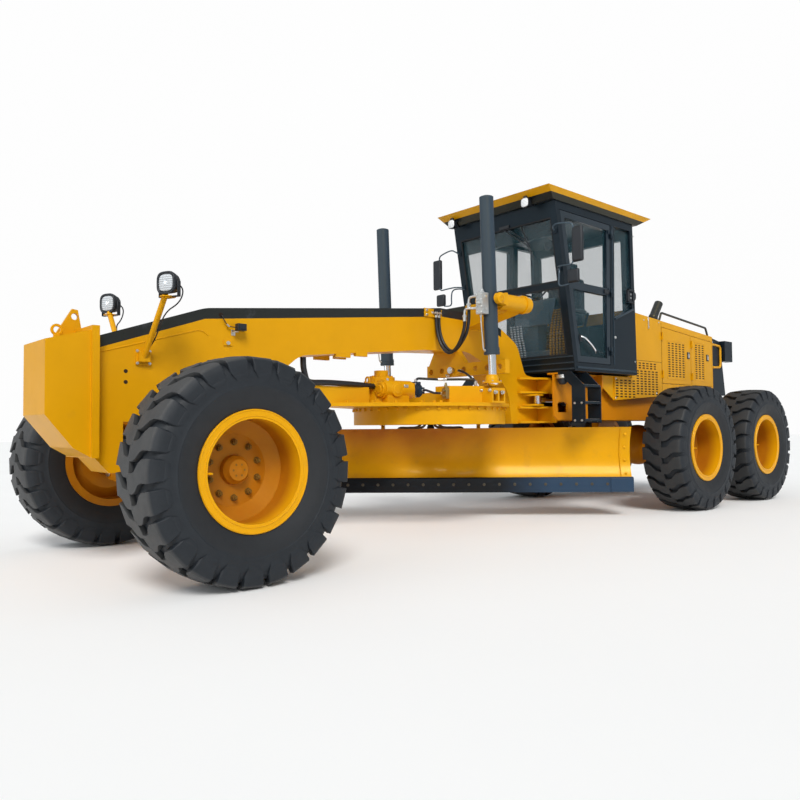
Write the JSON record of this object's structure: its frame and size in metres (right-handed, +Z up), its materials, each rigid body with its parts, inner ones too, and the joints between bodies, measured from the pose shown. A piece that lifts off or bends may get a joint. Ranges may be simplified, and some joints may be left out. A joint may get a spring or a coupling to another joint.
{
  "type": "motor grader",
  "caption": "Articulated motor grader: long arched front frame with leaning steered wheels, drawbar, toothed circle and curved blade, glazed cab, rear engine hood and tandem drive.",
  "frame": {"origin": "on the ground, in the middle of the machine", "axes": "+X forward, +Y to the left, +Z up"},
  "size_m": [8.5188, 3.1708, 3.2096],
  "materials": {
    "yellow_paint": "semi-gloss paint",
    "black_paint": "satin paint",
    "cylinder_paint": "satin paint",
    "rod_chrome": "polished",
    "edge_steel": "rolled steel",
    "window_glass": "tinted glass",
    "seat_fabric": "woven",
    "tyre_rubber": "matt rubber",
    "rim_paint": "semi-gloss paint"
  },
  "bodies": {
    "rear_body": {"rear_frame": "yellow_paint", "engine_block": "black_paint", "hood": "yellow_paint", "radiator_guard": "black_paint", "cab_frame": "black_paint", "cab_roof": "black_paint", "cab_glass": "window_glass", "operator_seat": "seat_fabric", "mirrors": "black_paint", "ladders": "black_paint", "tandem_axle": "yellow_paint"},
    "front_body": {"front_frame": "yellow_paint", "lamps_and_hoses": "black_paint", "front_axle": "yellow_paint"},
    "drawbar_ball": {"drawbar_ball": "black_paint"},
    "drawbar": {"drawbar": "yellow_paint", "circle_drive": "yellow_paint"},
    "circle": {"circle": "yellow_paint"},
    "blade_carrier": {"blade_carrier": "cylinder_paint"},
    "blade": {"moldboard": "yellow_paint", "cutting_edge": "edge_steel"},
    "pitch_barrel": {"pitch_cylinder_barrel": "cylinder_paint"},
    "pitch_rod": {"pitch_cylinder_rod": "rod_chrome"},
    "lean_bar": {"lean_bar": "black_paint"},
    "lean_barrel": {"lean_cylinder_barrel": "cylinder_paint"},
    "lean_rod": {"lean_cylinder_rod": "rod_chrome"},
    "tie_rod_end": {"tie_rod_end": "black_paint"},
    "tie_rod": {"tie_rod": "black_paint"},
    "lean_bracket_left": {"lean_bracket_left": "yellow_paint"},
    "knuckle_left": {"knuckle_left": "yellow_paint"},
    "lift_yoke_left": {"lift_yoke_left": "yellow_paint"},
    "lift_barrel_left": {"lift_barrel_left": "cylinder_paint"},
    "lift_rod_left": {"lift_rod_left": "rod_chrome"},
    "articulation_barrel_left": {"articulation_barrel_left": "cylinder_paint"},
    "articulation_rod_left": {"articulation_rod_left": "rod_chrome"},
    "cab_door_left": {"cab_door_left": "black_paint"},
    "hood_door_front_left": {"hood_door_front_left": "yellow_paint"},
    "hood_door_rear_left": {"hood_door_rear_left": "yellow_paint"},
    "lean_bracket_right": {"lean_bracket_right": "yellow_paint"},
    "knuckle_right": {"knuckle_right": "yellow_paint"},
    "lift_yoke_right": {"lift_yoke_right": "yellow_paint"},
    "lift_barrel_right": {"lift_barrel_right": "cylinder_paint"},
    "lift_rod_right": {"lift_rod_right": "rod_chrome"},
    "articulation_barrel_right": {"articulation_barrel_right": "cylinder_paint"},
    "articulation_rod_right": {"articulation_rod_right": "rod_chrome"},
    "cab_door_right": {"cab_door_right": "black_paint"},
    "hood_door_front_right": {"hood_door_front_right": "yellow_paint"},
    "hood_door_rear_right": {"hood_door_rear_right": "yellow_paint"},
    "wheel_front_left": {"tyre_front_left": "tyre_rubber", "rim_front_left": "rim_paint"},
    "wheel_front_right": {"tyre_front_right": "tyre_rubber", "rim_front_right": "rim_paint"},
    "wheel_middle_left": {"tyre_middle_left": "tyre_rubber", "rim_middle_left": "rim_paint"},
    "wheel_middle_right": {"tyre_middle_right": "tyre_rubber", "rim_middle_right": "rim_paint"},
    "wheel_rear_left": {"tyre_rear_left": "tyre_rubber", "rim_rear_left": "rim_paint"},
    "wheel_rear_right": {"tyre_rear_right": "tyre_rubber", "rim_rear_right": "rim_paint"}
  },
  "joints": [
    {"name": "articulation", "type": "hinge", "parent": "rear_body", "child": "front_body", "pos_m": [-0.8, 0, 1.176], "axis": [0, 0, 1], "range_deg": [-25, 25]},
    {"name": "lean_left", "type": "hinge", "parent": "front_body", "child": "lean_bracket_left", "pos_m": [3.435, 0.725, 0.58], "axis": [-1, 0, 0], "range_deg": [-17, 17]},
    {"name": "lean_right", "type": "hinge", "parent": "front_body", "child": "lean_bracket_right", "pos_m": [3.435, -0.725, 0.58], "axis": [-1, 0, 0], "range_deg": [-17, 17]},
    {"name": "steer_left", "type": "hinge", "parent": "lean_bracket_left", "child": "knuckle_left", "pos_m": [3.435, 0.85, 0.665], "axis": [0, 0, 1], "range_deg": [-45, 45]},
    {"name": "steer_right", "type": "hinge", "parent": "lean_bracket_right", "child": "knuckle_right", "pos_m": [3.435, -0.85, 0.665], "axis": [0, 0, 1], "range_deg": [-45, 45]},
    {"name": "lean_bar_pin", "type": "hinge", "parent": "lean_bracket_left", "child": "lean_bar", "pos_m": [3.435, 0.725, 0.84], "axis": [-1, 0, 0], "range_deg": [-17, 17]},
    {"name": "lean_barrel_pin", "type": "hinge", "parent": "front_body", "child": "lean_barrel", "pos_m": [3.575, -0.33, 0.8], "axis": [-1, 0, 0], "range_deg": [-1, 1]},
    {"name": "lean_rod_slide", "type": "slide", "parent": "lean_barrel", "child": "lean_rod", "axis": [0, 0.9993, 0.0379], "range_m": [-0.08, 0.08]},
    {"name": "tie_rod_steer_pin", "type": "hinge", "parent": "knuckle_left", "child": "tie_rod_end", "pos_m": [3.235, 0.85, 0.605], "axis": [0, 0, 1], "range_deg": [-45, 45]},
    {"name": "tie_rod_lean_pin", "type": "hinge", "parent": "tie_rod_end", "child": "tie_rod", "pos_m": [3.235, 0.85, 0.605], "axis": [-1, 0, 0], "range_deg": [-16, 16]},
    {"name": "drawbar_yaw", "type": "hinge", "parent": "front_body", "child": "drawbar_ball", "pos_m": [2.915, 0, 1.01], "axis": [0, 0, 1], "range_deg": [-6, 6]},
    {"name": "drawbar_lift", "type": "hinge", "parent": "drawbar_ball", "child": "drawbar", "pos_m": [2.915, 0, 1.01], "axis": [0, 1, 0], "range_deg": [-17.2, 0.2]},
    {"name": "lift_yoke_swing_left", "type": "hinge", "parent": "front_body", "child": "lift_yoke_left", "pos_m": [0.76, 0.7, 2.017], "axis": [1, 0, 0], "range_deg": [-18, 18]},
    {"name": "lift_barrel_tilt_left", "type": "hinge", "parent": "lift_yoke_left", "child": "lift_barrel_left", "pos_m": [0.76, 0.7, 2.017], "axis": [0, 1, 0], "range_deg": [-2, 2]},
    {"name": "lift_rod_slide_left", "type": "slide", "parent": "lift_barrel_left", "child": "lift_rod_left", "axis": [-0.0348, 0, -0.9994], "range_m": [-0.02, 0.68]},
    {"name": "lift_yoke_swing_right", "type": "hinge", "parent": "front_body", "child": "lift_yoke_right", "pos_m": [0.76, -0.7, 2.017], "axis": [1, 0, 0], "range_deg": [-18, 18]},
    {"name": "lift_barrel_tilt_right", "type": "hinge", "parent": "lift_yoke_right", "child": "lift_barrel_right", "pos_m": [0.76, -0.7, 2.017], "axis": [0, 1, 0], "range_deg": [-2, 2]},
    {"name": "lift_rod_slide_right", "type": "slide", "parent": "lift_barrel_right", "child": "lift_rod_right", "axis": [-0.0348, 0, -0.9994], "range_m": [-0.02, 0.68]},
    {"name": "circle_turn", "type": "hinge", "parent": "drawbar", "child": "circle", "pos_m": [0.835, 0, 1], "axis": [0, 0, 1], "continuous": true},
    {"name": "blade_pitch", "type": "hinge", "parent": "circle", "child": "blade_carrier", "pos_m": [0.2976, -0.5374, 0.43], "axis": [-0.7071, 0.7071, 0], "range_deg": [0, 40]},
    {"name": "blade_side_shift", "type": "slide", "parent": "blade_carrier", "child": "blade", "axis": [0.7071, -0.7071, 0], "range_m": [-0.46, 0.46]},
    {"name": "pitch_barrel_pin", "type": "hinge", "parent": "circle", "child": "pitch_barrel", "pos_m": [0.28699, -0.54801, 1.01], "axis": [-0.7071, 0.7071, 0], "range_deg": [-1, 2]},
    {"name": "pitch_rod_slide", "type": "slide", "parent": "pitch_barrel", "child": "pitch_rod", "axis": [-0.1071, -0.1071, -0.9885], "range_m": [-0.081, 0.001]},
    {"name": "articulation_barrel_pin_left", "type": "hinge", "parent": "rear_body", "child": "articulation_barrel_left", "pos_m": [-1.5, 0.33, 1.176], "axis": [0, 0, 1], "range_deg": [-8, 8]},
    {"name": "articulation_rod_slide_left", "type": "slide", "parent": "articulation_barrel_left", "child": "articulation_rod_left", "axis": [0.9984, -0.0571, 0], "range_m": [-0.13, 0.13]},
    {"name": "articulation_barrel_pin_right", "type": "hinge", "parent": "rear_body", "child": "articulation_barrel_right", "pos_m": [-1.5, -0.33, 1.176], "axis": [0, 0, 1], "range_deg": [-8, 8]},
    {"name": "articulation_rod_slide_right", "type": "slide", "parent": "articulation_barrel_right", "child": "articulation_rod_right", "axis": [0.9984, 0.0571, 0], "range_m": [-0.13, 0.13]},
    {"name": "wheel_spin_front_left", "type": "hinge", "parent": "knuckle_left", "child": "wheel_front_left", "pos_m": [3.435, 1.085, 0.665], "axis": [0, 1, 0], "continuous": true},
    {"name": "wheel_spin_front_right", "type": "hinge", "parent": "knuckle_right", "child": "wheel_front_right", "pos_m": [3.435, -1.085, 0.665], "axis": [0, 1, 0], "continuous": true},
    {"name": "wheel_spin_middle_left", "type": "hinge", "parent": "rear_body", "child": "wheel_middle_left", "pos_m": [-2.052, 1.085, 0.665], "axis": [0, 1, 0], "continuous": true},
    {"name": "wheel_spin_middle_right", "type": "hinge", "parent": "rear_body", "child": "wheel_middle_right", "pos_m": [-2.052, -1.085, 0.665], "axis": [0, 1, 0], "continuous": true},
    {"name": "wheel_spin_rear_left", "type": "hinge", "parent": "rear_body", "child": "wheel_rear_left", "pos_m": [-3.59, 1.085, 0.665], "axis": [0, 1, 0], "continuous": true},
    {"name": "wheel_spin_rear_right", "type": "hinge", "parent": "rear_body", "child": "wheel_rear_right", "pos_m": [-3.59, -1.085, 0.665], "axis": [0, 1, 0], "continuous": true},
    {"name": "cab_door_swing_left", "type": "hinge", "parent": "rear_body", "child": "cab_door_left", "pos_m": [-1.162, 0.693, 1.54], "axis": [-0.0235, 0, 0.9997], "range_deg": [0, 80]},
    {"name": "hood_door_swing_front_left", "type": "hinge", "parent": "rear_body", "child": "hood_door_front_left", "pos_m": [-2.447, 0.573, 1.7], "axis": [0, 0, -1], "range_deg": [0, 100]},
    {"name": "hood_door_swing_rear_left", "type": "hinge", "parent": "rear_body", "child": "hood_door_rear_left", "pos_m": [-3.165, 0.573, 1.7], "axis": [0, 0, -1], "range_deg": [0, 100]},
    {"name": "cab_door_swing_right", "type": "hinge", "parent": "rear_body", "child": "cab_door_right", "pos_m": [-1.162, -0.693, 1.54], "axis": [0.0235, 0, -0.9997], "range_deg": [0, 80]},
    {"name": "hood_door_swing_front_right", "type": "hinge", "parent": "rear_body", "child": "hood_door_front_right", "pos_m": [-2.447, -0.573, 1.7], "axis": [0, 0, 1], "range_deg": [0, 100]},
    {"name": "hood_door_swing_rear_right", "type": "hinge", "parent": "rear_body", "child": "hood_door_rear_right", "pos_m": [-3.165, -0.573, 1.7], "axis": [0, 0, 1], "range_deg": [0, 100]}
  ],
  "couplings": [
    {"joint": "lean_right", "follows": "lean_left", "ratio": 1},
    {"joint": "steer_right", "follows": "steer_left", "ratio": 1},
    {"joint": "lean_bar_pin", "follows": "lean_left", "ratio": -1},
    {"joint": "lean_barrel_pin", "follows": "lean_left", "ratio": 0.009},
    {"joint": "lean_rod_slide", "follows": "lean_left", "m_per_rad": 0.256},
    {"joint": "tie_rod_steer_pin", "follows": "steer_left", "ratio": -1},
    {"joint": "tie_rod_lean_pin", "follows": "lean_left", "ratio": -0.855},
    {"joint": "lift_yoke_swing_left", "follows": "drawbar_yaw", "ratio": -2.94},
    {"joint": "lift_barrel_tilt_left", "follows": "drawbar_lift", "ratio": 0.05},
    {"joint": "lift_rod_slide_left", "follows": "drawbar_lift", "m_per_rad": -2.19},
    {"joint": "lift_yoke_swing_right", "follows": "drawbar_yaw", "ratio": -2.94},
    {"joint": "lift_barrel_tilt_right", "follows": "drawbar_lift", "ratio": 0.05},
    {"joint": "lift_rod_slide_right", "follows": "drawbar_lift", "m_per_rad": -2.19},
    {"joint": "pitch_barrel_pin", "follows": "blade_pitch", "ratio": 0.032},
    {"joint": "pitch_rod_slide", "follows": "blade_pitch", "m_per_rad": -0.1131},
    {"joint": "articulation_barrel_pin_left", "follows": "articulation", "ratio": 0.3124},
    {"joint": "articulation_rod_slide_left", "follows": "articulation", "m_per_rad": -0.2863},
    {"joint": "articulation_barrel_pin_right", "follows": "articulation", "ratio": 0.3124},
    {"joint": "articulation_rod_slide_right", "follows": "articulation", "m_per_rad": 0.2863}
  ]
}
